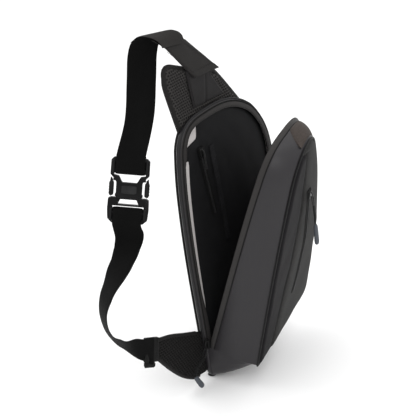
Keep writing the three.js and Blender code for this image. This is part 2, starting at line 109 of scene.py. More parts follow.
HINGE_AXIS = (MOUTH_FAR - MOUTH_LOW).normalized()
OPENING = Quaternion(HINGE_AXIS, OPEN_ANGLE)


def opened(p):
    """A point of the closed shell, turned to the open position of the photo."""
    return OPENING @ (Vector(p) - MOUTH_LOW) + MOUTH_LOW


def place_open(p):
    return place(opened(p))


def place_section(section):
    """Outline points, each with its own y, in the shared frame."""
    return [place((p.x, y, p.y)) for p, y in section]


def place_outline(points, y):
    return place_section([(p, y) for p in points])


def turns(count):
    """The angles of a full circle in equal steps."""
    return [2 * math.pi * k / count for k in range(count)]


def square_to(along):
    """Two directions square to a line and to each other."""
    guide = Vector((1, 0, 0)) if abs(along.y) > 0.9 else Vector((0, 1, 0))
    u = guide.cross(along).normalized()
    return u, along.cross(u)


def outline(corners):
    """Points of a closed outline with rounded corners, and the index of each corner's first point."""
    arcs, count = [], len(corners)
    for i, (x, z, rounding) in enumerate(corners):
        tip = Vector((x, z))
        if rounding == 0:
            arcs.append([tip])
            continue
        back = Vector(corners[i - 1][:2]) - tip
        ahead = Vector(corners[(i + 1) % count][:2]) - tip
        reach = min(rounding, back.length * 0.48, ahead.length * 0.48)
        a, b = tip + back.normalized() * reach, tip + ahead.normalized() * reach
        steps = [k / CURVE_STEPS for k in range(CURVE_STEPS + 1)]
        arcs.append([a.lerp(tip, t).lerp(tip.lerp(b, t), t) for t in steps])
    points, starts = [], []
    for arc, following in zip(arcs, arcs[1:] + arcs[:1]):
        starts.append(len(points))
        points += arc
        points += [arc[-1].lerp(following[0], k / STRAIGHT_STEPS) for k in range(1, STRAIGHT_STEPS)]
    return points, starts


def smoothed(points, rounds, keep):
    """The outline with its bends evened out, apart from the points to keep."""
    for _ in range(rounds):
        points = [
            p if i in keep else p * 0.5 + (points[i - 1] + points[(i + 1) % len(points)]) * 0.25
            for i, p in enumerate(points)
        ]
    return points


def inset(points, distance):
    """The outline moved inwards, or outwards by a negative distance."""
    area = sum(p.cross(q) for p, q in zip(points, points[1:] + points[:1]))
    turn = 1 if area > 0 else -1
    moved = []
    for i, p in enumerate(points):
        along = (points[(i + 1) % len(points)] - points[i - 1]).normalized()
        moved.append(Vector((p.x - along.y * turn * distance, p.y + along.x * turn * distance)))
    return moved


rear, STARTS = outline(REAR_CORNERS)
front, _ = outline(FRONT_CORNERS)
LOW, FAR = STARTS[LOW_CORNER], STARTS[FAR_CORNER]
rear = smoothed(rear, SMOOTHING_ROUNDS, (LOW, FAR))
front = smoothed(front, SMOOTHING_ROUNDS, (LOW, FAR))
MOUTH = list(range(LOW, FAR + 1))
BELOW = [i % len(rear) for i in range(FAR, len(rear) + LOW + 1)]


def shell_depth(z):
    """The y of the front seam, which comes nearer to the back towards the top."""
    return -(DEPTH_LOW - DEPTH_SLOPE * max(z - FOOT_HEIGHT, 0))


def wall_at(i, y, distance):
    """A point of the shell's side wall at depth y, in the closed position."""
    t = y / shell_depth(front[i].y)
    a, b = inset_rear[distance][i], inset_front[distance][i]
    p = a.lerp(b, t)
    return Vector((p.x, y, p.y))


class Insets(dict):
    """An outline moved inwards, by distance, each worked out once."""

    def __init__(self, base):
        super().__init__()
        self.base = base

    def __missing__(self, distance):
        self[distance] = inset(self.base, distance)
        return self[distance]


inset_rear, inset_front = Insets(rear), Insets(front)


def spline(points, steps):
    """A smooth curve through points, with about the same step between its points."""
    pts = [Vector(p) for p in points]
    ends = [pts[0] * 2 - pts[1]] + pts + [pts[-1] * 2 - pts[-2]]
    dense = []
    for a, b, c, d in zip(ends, ends[1:], ends[2:], ends[3:]):
        for k in range(24):
            t = k / 24
            squares, cubes = a * 2 - b * 5 + c * 4 - d, b * 3 - a - c * 3 + d
            dense.append((b * 2 + (c - a) * t + squares * t * t + cubes * t**3) * 0.5)
    dense.append(pts[-1])
    return even(dense, steps)


def even(points, steps, loop=False):
    """Points at equal steps along the line through points."""
    pts = list(points) + ([points[0]] if loop else [])
    run = distances(pts)
    out, j = [], 0
    for k in range(steps if loop else steps + 1):
        target = run[-1] * k / steps
        while j < len(pts) - 2 and run[j + 1] < target:
            j += 1
        share = (target - run[j]) / max(run[j + 1] - run[j], 1e-9)
        out.append(pts[j].lerp(pts[j + 1], min(max(share, 0), 1)))
    return out


def distances(points):
    """The distance along the line up to each of its points."""
    return list(accumulate(((b - a).length for a, b in zip(points, points[1:])), initial=0.0))


def length_of(points):
    return distances(points)[-1]


# ---- Mesh builders ----
def link(name, data):
    obj = bpy.data.objects.new(name, data)
    bpy.context.scene.collection.objects.link(obj)
    return obj


def new_object(name, verts, faces, materials, smooth_angle=50):
    mesh = bpy.data.meshes.new(name)
    mesh.from_pydata([tuple(v) for v in verts], [], faces)
    mesh.validate()
    for m in materials if isinstance(materials, (list, tuple)) else [materials]:
        mesh.materials.append(m)
    fix_normals(mesh)
    shade(mesh, smooth_angle)
    return link(name, mesh)


def fix_normals(mesh):
    bm = bmesh.new()
    bm.from_mesh(mesh)
    bmesh.ops.recalc_face_normals(bm, faces=bm.faces)
    bm.to_mesh(mesh)
    bm.free()


def shade(mesh, angle):
    for p in mesh.polygons:
        p.use_smooth = True
    mesh.set_sharp_from_angle(angle=math.radians(angle))


def skin(name, rings, materials, loop=False, smooth_angle=50, cols_of=None):
    """A closed body through rings of points. cols_of picks the material of each column of faces."""
    count = len(rings[0])
    verts = [p for ring in rings for p in ring]
    faces, slots = [], []
    bands = len(rings) if loop else len(rings) - 1
    for r in range(bands):
        a, b = r * count, ((r + 1) % len(rings)) * count
        for i in range(count):
            j = (i + 1) % count
            faces.append((a + i, a + j, b + j, b + i))
            slots.append(cols_of(i) if cols_of else 0)
    if not loop:
        last = (len(rings) - 1) * count
        faces += [tuple(reversed(range(count))), tuple(range(last, last + count))]
        slots += [0, 0]
    obj = new_object(name, verts, faces, materials, smooth_angle)
    for polygon, slot in zip(obj.data.polygons, slots):
        polygon.material_index = slot
    return obj


def tube(name, points, radius, material, sides=10, loop=False, squash=1.0):
    """A round cord along points in frame metres, with domed ends."""
    radii = [radius] * len(points)
    pts = list(points)
    if not loop:
        head, tail = (pts[0] - pts[1]).normalized(), (pts[-1] - pts[-2]).normalized()
        pts = [pts[0] + head * radius * 0.7] + pts + [pts[-1] + tail * radius * 0.7]
        radii = [radius * 0.45] + radii + [radius * 0.45]
    rings, last = [], len(pts) - 1
    for i, p in enumerate(pts):
        before = pts[i - 1] if loop or i else pts[0]
        after = pts[(i + 1) % len(pts)] if loop or i < last else pts[last]
        u, w = square_to((after - before).normalized())
        rings.append([p + (u * math.cos(a) + w * math.sin(a) * squash) * radii[i] for a in turns(sides)])
    return skin(name, rings, material, loop=loop, smooth_angle=70)


def ribbon(name, stations, width, thickness, material, lanes=10):
    """A woven band with a soft edge. Each station is (point, width direction) in bag millimetres."""
    rings = []
    for i, (at, across) in enumerate(stations):
        before, after = stations[max(i - 1, 0)][0], stations[min(i + 1, len(stations) - 1)][0]
        side = across.normalized()
        up = (after - before).cross(side).normalized()
        ring = []
        for face in (1, -1):
            for k in range(lanes + 1):
                u = (k / lanes * 2 - 1) * face
                edge = (1 - abs(u) ** 8) ** 0.5
                lift = thickness / 2 * (0.35 + 0.65 * edge)
                ring.append(place(at + side * u * width / 2 + up * face * lift))
        rings.append(ring)
    obj = skin(name, rings, material, smooth_angle=60)
    uv = obj.data.uv_layers.new(name="Band")
    count, run = 2 * (lanes + 1), distances([at for at, _ in stations])
    for polygon in obj.data.polygons:
        for loop_index in polygon.loop_indices:
            v = obj.data.loops[loop_index].vertex_index
            ring, k = divmod(v, count)
            lane = k % (lanes + 1) / lanes
            uv.data[loop_index].uv = ((lane if k <= lanes else 1 - lane) * width, run[ring])
    return obj


def fill(polygon, pitch):
    """Triangles over a flat outline. Returns points, faces and the boundary's indices in order."""
    edge = list(polygon)
    around = length_of([p.to_3d() for p in edge + edge[:1]])
    edge = [p.to_2d() for p in even([p.to_3d() for p in edge], max(int(around / pitch), 12), loop=True)]
    border = np.array([tuple(p) for p in edge])
    low, high = border.min(0), border.max(0)
    inner, row = [], 0
    z = low[1]
    while z < high[1]:
        x = low[0] + (pitch / 2 if row % 2 else 0)
        while x < high[0]:
            inner.append((x, z))
            x += pitch
        z += pitch * ROW_SHARE
        row += 1
    inner = np.array(inner)
    keep = inside(inner, border) & (edge_distance(inner, border) > pitch * 0.6)
    coords = [Vector(p) for p in border] + [Vector(p) for p in inner[keep]]
    n = len(border)
    loop = [(i, (i + 1) % n) for i in range(n)]
    verts, _, faces, origin, _, _ = delaunay_2d_cdt(coords, loop, [list(range(n))], 1, 1e-5)
    index_of = {o[0]: i for i, o in enumerate(origin) if o}
    points = np.array([tuple(v) for v in verts])
    return points, [tuple(f) for f in faces], [index_of[i] for i in range(n)], border


def inside(points, border):
    x, z = points[:, 0], points[:, 1]
    result = np.zeros(len(points), bool)
    for (ax, az), (bx, bz) in zip(border, np.roll(border, -1, 0)):
        crosses = (az > z) != (bz > z)
        at = (bx - ax) * (z - az) / (bz - az + 1e-12) + ax
        result ^= crosses & (x < at)
    return result


def edge_distance(points, border):
    best = np.full(len(points), 1e9)
    for a, b in zip(border, np.roll(border, -1, 0)):
        d = b - a
        t = np.clip(((points - a) @ d) / max(d @ d, 1e-12), 0, 1)
        best = np.minimum(best, np.linalg.norm(points - a - t[:, None] * d, axis=1))
    return best


def rounded(d, radius):
    """Height share, 0 at a sewn edge and 1 beyond radius."""
    return np.sqrt(1 - (1 - np.clip(d / radius, 0, 1)) ** 2)


def groove(distance, width):
    """1 in the middle of a groove, and 0 well outside it."""
    return np.exp(-((distance / width) ** 2))


def curve(points, steps, y=0):
    """A smooth curve through (x, z) points at one depth."""
    return spline([(x, y, z) for x, z in points], steps)


def level(y):
    """A flat face, for pillow."""
    return lambda x, z, d: y + 0 * x


def padded_face(edge_y, rise, radius, size=30, amount=0, seed=0):
    """A face that rises from its sewn edge, with slow unevenness, for pillow."""
    return lambda x, z, d: edge_y + rise * rounded(d, radius) + ripple(x, z, size, amount, seed)


def pillow(name, polygon, pitch, y_front, y_back, materials, to_frame=place):
    """A closed padded panel over a flat outline. y_front and y_back give y from x, z and edge distance."""
    points, faces, border_index, border = fill(polygon, pitch)
    d = edge_distance(points, border)
    x, z = points[:, 0], points[:, 1]
    n = len(points)
    near, far = y_front(x, z, d), y_back(x, z, d)
    verts = [to_frame((a, b, c)) for a, b, c in zip(x, near, z)]
    verts += [to_frame((a, b, c)) for a, b, c in zip(x, far, z)]
    both = faces + [tuple(i + n for i in reversed(f)) for f in faces]
    m = len(border_index)
    sides = [
        (border_index[i], border_index[(i + 1) % m], border_index[(i + 1) % m] + n, border_index[i] + n)
        for i in range(m)
    ]
    obj = new_object(name, verts, both + sides, materials)
    obj["sewn"] = sorted(border_index + [i + n for i in border_index])
    return obj


def beads(name, centres, length, slices, sides, section, material, smooth_angle):
    """One closed bead of thread on each step between centres. slices are (place along, size)."""
    verts, faces = [], []
    for a, b in zip(centres, centres[1:]):
        along = (b - a).normalized()
        u, w = section(along)
        base = len(verts)
        for share, size in slices:
            at = (a + b) / 2 + along * length * share * MM
            verts += [at + (u * math.cos(q) + w * math.sin(q)) * size * MM for q in turns(sides)]
        last = base + (len(slices) - 1) * sides
        for low in range(base, last, sides):
            for k in range(sides):
                j = (k + 1) % sides
                faces.append((low + k, low + j, low + sides + j, low + sides + k))
        faces += [tuple(range(base + sides - 1, base - 1, -1)), tuple(range(last, last + sides))]
    return new_object(name, verts, faces, material, smooth_angle)


def sew(name, points, body):
    """A row of thread stitches along frame points."""
    count = max(int(length_of(points) / MM / STITCH_SPACING), 2)

    def section(along):
        u, w = square_to(along)
        return u * STITCH_RADIUS, w * STITCH_RADIUS

    slices = ((-0.5, 0.35), (-0.3, 1), (0.3, 1), (0.5, 0.35))
    finish_piece(beads(name, even(points, count), STITCH_LENGTH, slices, 6, section, THREAD, 80), body)


def coil(name, points, out, material, body, width=1.5, height=1.1):
    """The coil of a zip: one small loop of thread per tooth, across the line of points."""
    count = int(length_of(points) / MM / TOOTH_PITCH)

    def section(along):
        return along.cross(out).normalized() * width, out * height

    slices = ((-0.42, 0.5), (0, 1), (0.42, 0.5))
    finish_piece(beads(name, even(points, count), TOOTH_PITCH, slices, 8, section, material, 60), body)


# ---- Materials ----
SLOT_OF = {}


def scaled(color, factor):
    return tuple(min(c * factor, 1) for c in color)


class Shader:
    """A material's node tree, with short ways to add and join its nodes."""

    def __init__(self, name, slot):
        self.material = bpy.data.materials.new(name)
        self.material.use_nodes = True
        self.tree = self.material.node_tree
        self.bsdf = self.tree.nodes["Principled BSDF"]
        self.where = self.add("TexCoord").outputs["Object"]
        SLOT_OF[self.material.name] = slot

    def fill_socket(self, socket, value):
        if isinstance(value, bpy.types.NodeSocket):
            self.tree.links.new(value, socket)
        else:
            socket.default_value = value

    def put(self, inputs, values):
        """Sets or links inputs by name, with _ for a space."""
        for name, value in values.items():
            self.fill_socket(inputs[name.replace("_", " ")], value)

    def surface(self, **values):
        self.put(self.bsdf.inputs, values)

    def add(self, kind, settings=(), **values):
        node = self.tree.nodes.new("ShaderNode" + kind)
        for name, value in dict(settings).items():
            setattr(node, name, value)
        self.put(node.inputs, values)
        return node

    def math(self, operation, a, b=0):
        node = self.add("Math", {"operation": operation})
        for socket, value in zip(node.inputs, (a, b)):
            self.fill_socket(socket, value)
        return node.outputs[0]

    def noise(self, scale, detail):
        return self.add("TexNoise", Vector=self.where, Scale=scale, Detail=detail).outputs["Fac"]

    def step(self, value, low, high):
        """0 below low and 1 above high, or the other way round."""
        return self.add("MapRange", Value=value, From_Min=low, From_Max=high).outputs[0]

    def tint(self, factor, dark, light, start=0.25, end=0.75):
        ramp = self.add("ValToRGB", Fac=factor)
        for element, position, color in zip(ramp.color_ramp.elements, (start, end), (dark, light)):
            element.position = position
            element.color = (*color, 1)
        self.surface(Base_Color=ramp.outputs[0])

    def bump(self, height, strength, distance_mm):
        node = self.add("Bump", Height=height, Strength=strength, Distance=distance_mm * MM)
        self.surface(Normal=node.outputs[0])

    def paint_hole_shade(self, holes):
        """Painted shade: the bottoms of the mesh's holes are painted darker than its threads, where shade
        falls.
        """
        mix = self.add("Mix", {"data_type": "RGBA"})
        self.tree.links.new(holes, mix.inputs[0])
        self.tree.links.new(self.bsdf.inputs["Base Color"].links[0].from_socket, mix.inputs[6])
        # The near-black colour of the painted shade at the bottom of a hole.
        mix.inputs[7].default_value = (0.0008, 0.0008, 0.0008, 1)
        self.surface(Base_Color=mix.outputs[2])


def woven(name, slot, color, per_metre=180, spread=0.22, rough=0.8, sheen=0.04, depth=0.25, mottle=60,
          coat=0.0, gloss=0.15):
    """Woven cloth: thread relief, a slow change of tone, fine contrast between threads and a soft sheen."""
    shader = Shader(name, slot)
    slow, fine = shader.noise(mottle, 6), shader.noise(per_metre * 5, 2)
    weave = weave_height(shader, per_metre)
    tone = shader.math("ADD", shader.math("MULTIPLY", fine, 0.55), shader.math("MULTIPLY", slow, 0.45))
    shader.tint(tone, scaled(color, 1 - spread), scaled(color, 1 + spread))
    # Mesh cloths are painted darker in their holes, which is painted shade; the rear mesh's holes also sink
    # in its bump.
    if name == "rear_mesh_cloth":
        holes = hole_grid(shader)
        shader.paint_hole_shade(holes)
        weave = shader.math("SUBTRACT", weave, shader.math("MULTIPLY", holes, 6))
    elif slot == "air_mesh":
        shader.paint_hole_shade(shader.add("Attribute", {"attribute_name": "hole_shade"}).outputs["Fac"])
    shader.bump(weave, 0.6, depth)
    rough_tone = shader.math("ADD", shader.math("MULTIPLY", slow, 0.16), rough - 0.08)
    shader.surface(Roughness=rough_tone, Sheen_Weight=sheen, Sheen_Roughness=0.5)
    shader.surface(Specular_IOR_Level=gloss, Coat_Weight=coat, Coat_Roughness=0.5)
    return shader.material


def weave_height(shader, per_metre):
    """Threads over and under, along three axes, so a panel facing any way shows a weave."""
    waves = []
    for axis in "XYZ":
        bands = {"wave_type": "BANDS", "bands_direction": axis}
        wave = shader.add(
            "TexWave", bands, Vector=shader.where, Scale=per_metre, Distortion=0.6, Detail_Scale=3,
        )
        waves.append(wave.outputs["Fac"])
    return shader.math("ADD", shader.math("ADD", waves[0], waves[2]), waves[1])


def hole_grid(shader):
    """1 in the holes of a mesh cloth that lies about flat in the object's x and z, and 0 on its threads."""
    turned = shader.add("Mapping", Vector=shader.where, Rotation=(0, math.radians(45), 0))
    flat = shader.add("Mapping", Vector=turned.outputs[0], Scale=(1, 0, 1))
    cells_per_metre = 1 / (MESH_PITCH * 0.8 * MM)
    cells = shader.add("TexVoronoi", Vector=flat.outputs[0], Scale=cells_per_metre, Randomness=0.0)
    return shader.step(cells.outputs["Distance"], 0.36, 0.24)


def ribbed(name, slot, color, across_mm=1.1, along_mm=1.4, rough=0.7):
    """Webbing: ribs across the band and cords along it, in the band's own coordinates in millimetres."""
    shader = Shader(name, slot)
    band = shader.add("UVMap", {"uv_map": "Band"})
    split = shader.add("SeparateXYZ", Vector=band.outputs[0])
    u = shader.math("MULTIPLY", split.outputs[0], 2 * math.pi / across_mm)
    v = shader.math("MULTIPLY", split.outputs[1], 2 * math.pi / along_mm)
    ribs = shader.math("MULTIPLY", shader.math("SINE", u), 0.35)
    shader.tint(shader.noise(40, 5), scaled(color, 0.7), scaled(color, 1.4))
    shader.bump(shader.math("ADD", ribs, shader.math("SINE", v)), 0.7, 0.25)
    shader.surface(Roughness=rough, Specular_IOR_Level=0.07, Sheen_Weight=0.01)
    return shader.material


def moulded(name, slot, color, rough=0.4, metal=0.0, grain=900, wear=0.25, gloss=0.3):
    """Moulded plastic, rubber or painted metal: a fine grain, uneven gloss and paler worn edges."""
    shader = Shader(name, slot)
    slow = shader.noise(70, 6)
    edge = shader.step(shader.add("NewGeometry").outputs["Pointiness"], 0.52, 0.62)
    worn = shader.math("MULTIPLY", shader.math("MULTIPLY", edge, slow), wear)
    shader.tint(worn, color, tuple(min(c * 3 + 0.03, 1) for c in color), 0, 1)
    shader.bump(shader.noise(grain, 3), 0.4, 0.05)
    uneven = shader.math("ADD", shader.math("MULTIPLY", slow, 0.2), rough - 0.1)
    shader.surface(Roughness=uneven, Metallic=metal, Specular_IOR_Level=gloss)
    return shader.material


SATIN = woven(
    "satin", "satin_fabric", (0.0140, 0.0125, 0.0146), 260, 0.10, 0.42, 0.01, 0.04, 25, coat=0.12, gloss=0.3,
)
INSIDE = woven("inside_cloth", "pocket_fabric", (0.003, 0.003, 0.0033), 240, 0.2, 0.7, 0.0, 0.1, gloss=0.05)
BORDER = woven(
    "border_cloth", "border_fabric", (0.0078, 0.0071, 0.0080), 260, 0.12, 0.7, 0.01, 0.06, 30, gloss=0.06,
)
FRONT = woven("front_cloth", "front_fabric", (0.020, 0.0195, 0.019), 150, 0.5, 0.85, 0.02, 0.3, 200)
# The peak patch's cloth: its light warm tone is partly the patch's own colour and partly painted highlight,
# where the top faces the light.
PATCH_WITH_HIGHLIGHT = woven("patch_cloth_with_highlight", "patch_fabric", (0.044, 0.0355, 0.0312), 150, 0.35, 0.85, 0.03, 0.3, 120)
STRIP = woven("strip_cloth", "strip_fabric", (0.0115, 0.0105, 0.0108), 200, 0.2, 0.65, 0.02, 0.15)
FLAP = woven("flap_cloth", "strip_fabric", (0.0142, 0.0130, 0.0123), 200, 0.2, 0.7, 0.02, 0.15)
LINING = woven("lining_cloth", "lining", (0.50, 0.475, 0.465), 300, 0.06, 0.7, 0.05, 0.08)
POCKET = woven(
    "pocket_cloth", "pocket_fabric", (0.0105, 0.0105, 0.0112), 200, 0.25, 0.65, 0.0, 0.15, gloss=0.08,
)
AIR_MESH = woven("air_mesh", "air_mesh", (0.0390, 0.0365, 0.0350), 420, 0.25, 0.8, 0.03, 0.12)
# A darker copy of the air mesh cloth for the wing: painted shade, for the shadow the wing lies in.
SHADED_WING_MESH = woven("wing_mesh_painted_shade", "air_mesh", (0.0092, 0.0086, 0.0083), 420, 0.25, 0.8, 0.02, 0.12)
REAR_MESH = woven("rear_mesh_cloth", "air_mesh", (0.0200, 0.0186, 0.0180), 420, 0.25, 0.8, 0.03, 0.12)
BINDING = woven("binding_tape", "binding", (0.0095, 0.0088, 0.0085), 420, 0.2, 0.7, 0.03, 0.12)
PIPING_CLOTH = woven("piping_cloth", "piping", (0.0050, 0.0048, 0.0050), 420, 0.2, 0.5, 0.02, 0.08)
# A lighter copy of the piping cloth for the mouth's rim piping: its lighter tone is a painted highlight, for
# the light line along the rim.
RIM_PIPING_HIGHLIGHT = woven("rim_piping_highlight_cloth", "piping", (0.017, 0.0165, 0.017), 420, 0.2, 0.6, 0.02, 0.06)
BAND = woven("zip_band_tape", "zip_band", (0.0270, 0.0250, 0.0245), 420, 0.12, 0.55, 0.02, 0.06, 40)
TAPE = woven("zip_tape_cloth", "zip_tape", (0.0045, 0.0045, 0.0045), 420, 0.2, 0.7, 0.02, 0.1)
THREAD = woven("thread", "strip_fabric", (0.011, 0.0105, 0.0105), 900, 0.2, 0.6, 0.03, 0.03)
CORD = woven("cord_braid", "cord", (0.0048, 0.0048, 0.0048), 500, 0.3, 0.7, 0.03, 0.15)
WEBBING = ribbed("webbing_weave", "webbing", (0.0016, 0.0016, 0.0016))
TAPE_BAND = ribbed("zip_tape_weave", "zip_tape", (0.0045, 0.0045, 0.0045), 0.9, 0.9)
ELASTIC = ribbed("elastic_weave", "zip_tape", (0.010, 0.010, 0.011), 0.9, 4.2)
TAB_WEB = woven("tab_weave", "strip_fabric", (0.0042, 0.0042, 0.0042), 320, 0.2, 0.7, 0.02, 0.15)
PLASTIC = moulded("buckle_plastic", "buckle_plastic", (0.0020, 0.0020, 0.0022), 0.3, wear=0.8, gloss=0.14)
METAL = moulded("slider_paint", "slider_metal", (0.008, 0.008, 0.008), 0.35, 0.4, wear=0.5)
RUBBER = moulded("grip_rubber", "grip_rubber", (0.052, 0.058, 0.068), 0.6, grain=1500, wear=0.1)


def finish_piece(obj, body, *nodes, blend=None):
    """The piece moves with its body and stands for its CAD nodes, which it hides. A piece given a blend
    keeps its place in the frame and is tied to no body.
    """
    if nodes:
        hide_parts(*nodes)
    SLOT_OF[obj.data.materials[0].name]
    if blend:
        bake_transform(obj)
    else:
        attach(obj, body)
    return obj


# ---- Cloth ----
FOAM_CLOTH = {
    "quality": 5, "mass": 0.15, "tension_stiffness": 12, "compression_stiffness": 12,
    "bending_stiffness": 0.6, "use_pressure": True, "vertex_group_mass": "sewn",
}
SWELLING_FRAMES = 15
padded = []


def pad(obj, pressure, cap_mm, refine_levels):
    """Notes a padded piece, to be swollen and refined once all pieces are made."""
    padded.append((obj, pressure, cap_mm, refine_levels))


def simulate_pads():
    """Each pad swells under pressure from inside, held at its sewn edge, and no further than its cap."""
    scene = bpy.context.scene
    for obj, pressure, _, _ in padded:
        group = obj.vertex_groups.new(name="sewn")
        group.add(list(obj["sewn"]), 1.0, "REPLACE")
        cloth = obj.modifiers.new("cloth", "CLOTH")
        for setting, value in FOAM_CLOTH.items():
            setattr(cloth.settings, setting, value)
        cloth.settings.uniform_pressure_force = pressure
        cloth.settings.effector_weights.gravity = 0
        cloth.collision_settings.use_collision = False
    for step in range(1, SWELLING_FRAMES + 1):
        scene.frame_set(step)
    depsgraph = bpy.context.evaluated_depsgraph_get()
    for obj, _, cap, _ in padded:
        swollen = obj.evaluated_get(depsgraph).to_mesh()
        shifts = [(v.co - w.co) for v, w in zip(swollen.vertices, obj.data.vertices)]
        obj.evaluated_get(depsgraph).to_mesh_clear()
        obj.modifiers.clear()
        for vertex, shift in zip(obj.data.vertices, shifts):
            if shift.length > cap * MM:
                shift = shift.normalized() * cap * MM
            vertex.co += shift
    scene.frame_set(1)


def refine(obj, levels):
    """Subdivides a pad for its holes. The rear pad has 0 levels."""
    if levels == 0:
        return
    modifier = obj.modifiers.new("refine", "SUBSURF")
    modifier.levels = levels
    modifier.render_levels = levels
    depsgraph = bpy.context.evaluated_depsgraph_get()
    mesh = bpy.data.meshes.new_from_object(obj.evaluated_get(depsgraph))
    obj.modifiers.clear()
    mesh.name = obj.name
    obj.data = mesh


def punch_holes(obj):
    """The round holes of an air mesh, as real dimples on a rows-and-offsets grid, with the strength of the
    painted shade at each point of a hole.
    """
    mesh = obj.data
    normals = [v.normal.copy() for v in mesh.vertices]
    row_height = MESH_PITCH * ROW_SHARE
    radius = MESH_PITCH * 0.42
    # Stored for each point: how strong the painted shade of a hole is there.
    shadow = mesh.attributes.new("hole_shade", "FLOAT", "POINT")
    for index, (vertex, normal) in enumerate(zip(mesh.vertices, normals)):
        x, z = vertex.co.x / MM, vertex.co.z / MM
        row = round(z / row_height)
        shift = MESH_PITCH / 2 if row % 2 else 0
        column = round((x - shift) / MESH_PITCH)
        gap = math.hypot(x - shift - column * MESH_PITCH, z - row * row_height) / radius
        if gap < 1:
            deep = (1 - gap * gap) * abs(normal.y)
            vertex.co -= normal * HOLE_DEPTH * deep * MM
            shadow.data[index].value = min(1.6 * (1 - gap * gap), 1) * abs(normal.y)


def ripple(x, z, size, amount, seed=0.0):
    """Slow, seeded unevenness of cloth, in millimetres."""
    return np.array([noise.noise(Vector((a / size, seed, b / size))) * amount for a, b in zip(x, z)])


# ---- The back ----
def near_side(x, z):
    """1 beside the long near edge of the mouth, where the lining shows, and 0 elsewhere."""
    return np.clip((-70 - x) / 8, 0, 1) * np.clip((z - 95) / 45, 0, 1) * np.clip((338 - z) / 12, 0, 1)


def build_back():
    def rear_face(x, z, d):
        bend = 0.0011 * (x + 5) ** 2
        channel = 4.5 * (groove(z - 262 - bend, 5) + groove(z - 138 + bend, 5))
        border = 2.5 * groove(d - 17, 2.6)
        return 10.5 + 10 * rounded(d, 16) - channel * rounded(d - 17, 10) - border + ripple(x, z, 40, 0.6)

    back = pillow("rear_pad", inset(rear, 1.2), 3.0, level(9.4), rear_face, REAR_MESH)
    pad(back, 1.2, 3, 0)
    finish_piece(back, "back", "back_panel")

    rings = []
    for i in range(len(rear)):
        a, b = inset_rear[0][i], inset_rear[-1.3][i]
        c = inset_rear[2.4][i]
        rings.append(place_section(((a, 0.0), (b, 2.2), (b, 6.8), (a, 9.0), (c, 9.0), (c, 0.0))))
    finish_piece(skin("rim_wall", rings, SATIN, loop=True, smooth_angle=70), "back", "back_sidewall")

    out = inset_rear[-PIPING - 0.5]
    # The rim's piping is drawn in the lighter copy of the piping cloth, a painted highlight.
    for name, y, cloth in (("rim_piping", 2.6, RIM_PIPING_HIGHLIGHT), ("rear_piping", 9.8, PIPING_CLOTH)):
        line = place_outline([out[i] for i in MOUTH], y)
        finish_piece(tube(name + "_cord", line, PIPING * MM, cloth), "back", name)

    tape, seam_line = [], []
    for i in MOUTH:
        width = 9 - 3.2 * near_side(*rear[i])
        a, b = inset_rear[-0.3][i], inset_rear[0][i].lerp(inset_rear[9][i], width / 18)
        c = inset_rear[0][i].lerp(inset_rear[9][i], width / 9)
        seam_line.append(b.lerp(c, 0.65))
        tape.append(place_section(((a, 0.6), (a, -1.2), (b, -2.3), (c, -1.7), (c, -0.6), (b, -0.9))))
    finish_piece(skin("rim_tape", tape, BAND, smooth_angle=60), "back", "back_zip_tape")
    line = place_outline([inset_rear[0.9][i] for i in MOUTH], -1.5)
    coil("rim_coil", line, FRONTWARD, TAPE, "back", height=0.7)
    sew("rim_stitching", place_outline(seam_line, -2.1), "back")

    edge = []
    for i in MOUTH:
        z = rear[i].y
        if rear[i].x < -90 and 92 < z < 334:
            taper = min((z - 92) / 25, (334 - z) / 4, 1) ** 0.5
            reach = 5.2 + (5.6 + 0.018 * (z - 92)) * taper
            a, b = inset_rear[5][i], inset_rear[0][i].lerp(inset_rear[9][i], reach / 9)
            edge.append(place_section(((a, 0.3), (b, 0.8), (b, 1.5), (a, 1.2))))
    finish_piece(skin("lining_edge", edge, LINING, smooth_angle=60), "back")

    lining_face = padded_face(5.2, -0.6, 10, 30, 0.3, 3)
    lining = pillow("lining", inset(rear, 3), 6, lining_face, level(6.8), LINING)
    finish_piece(lining, "back", "back_lining")
    build_inner_pocket()
    build_floor()


def build_inner_pocket():
    shape, _ = outline(POCKET_CORNERS)

    def face(x, z, d):
        folds = 0.7 * np.sin(x / 13 + z / 60 + 2.2 * np.sin(z / 55)) * np.clip(d / 25, 0, 1)
        return 3.6 - 1.0 * rounded(d, 12) - 0.6 * np.abs(folds) + ripple(x, z, 22, 0.4, 8)

    pocket = pillow("inner_pocket_cloth", shape, 3.2, face, level(4.8), POCKET)
    finish_piece(pocket, "back", "inner_pocket")

    path = curve(INNER_ZIP, 40)
    across = Vector((1, 0, 0.17)).normalized()
    stations = [(Vector((p.x, 1.0, p.z)), across) for p in path]
    tape = ribbon("inner_zip_cloth", stations, 11, 0.9, TAPE_BAND)
    finish_piece(tape, "back", "inner_zip_tape")
    line = [place((p.x, 0.4, p.z)) for p in path]
    coil("inner_zip_coil", line, FRONTWARD, PLASTIC, "back", 1.8, 0.7)

    path = curve(INNER_ELASTIC, 60, 0.6)
    elastic = ribbon("inner_pocket_elastic", [(p, across) for p in path], 9, 0.9, ELASTIC)
    finish_piece(elastic, "back")


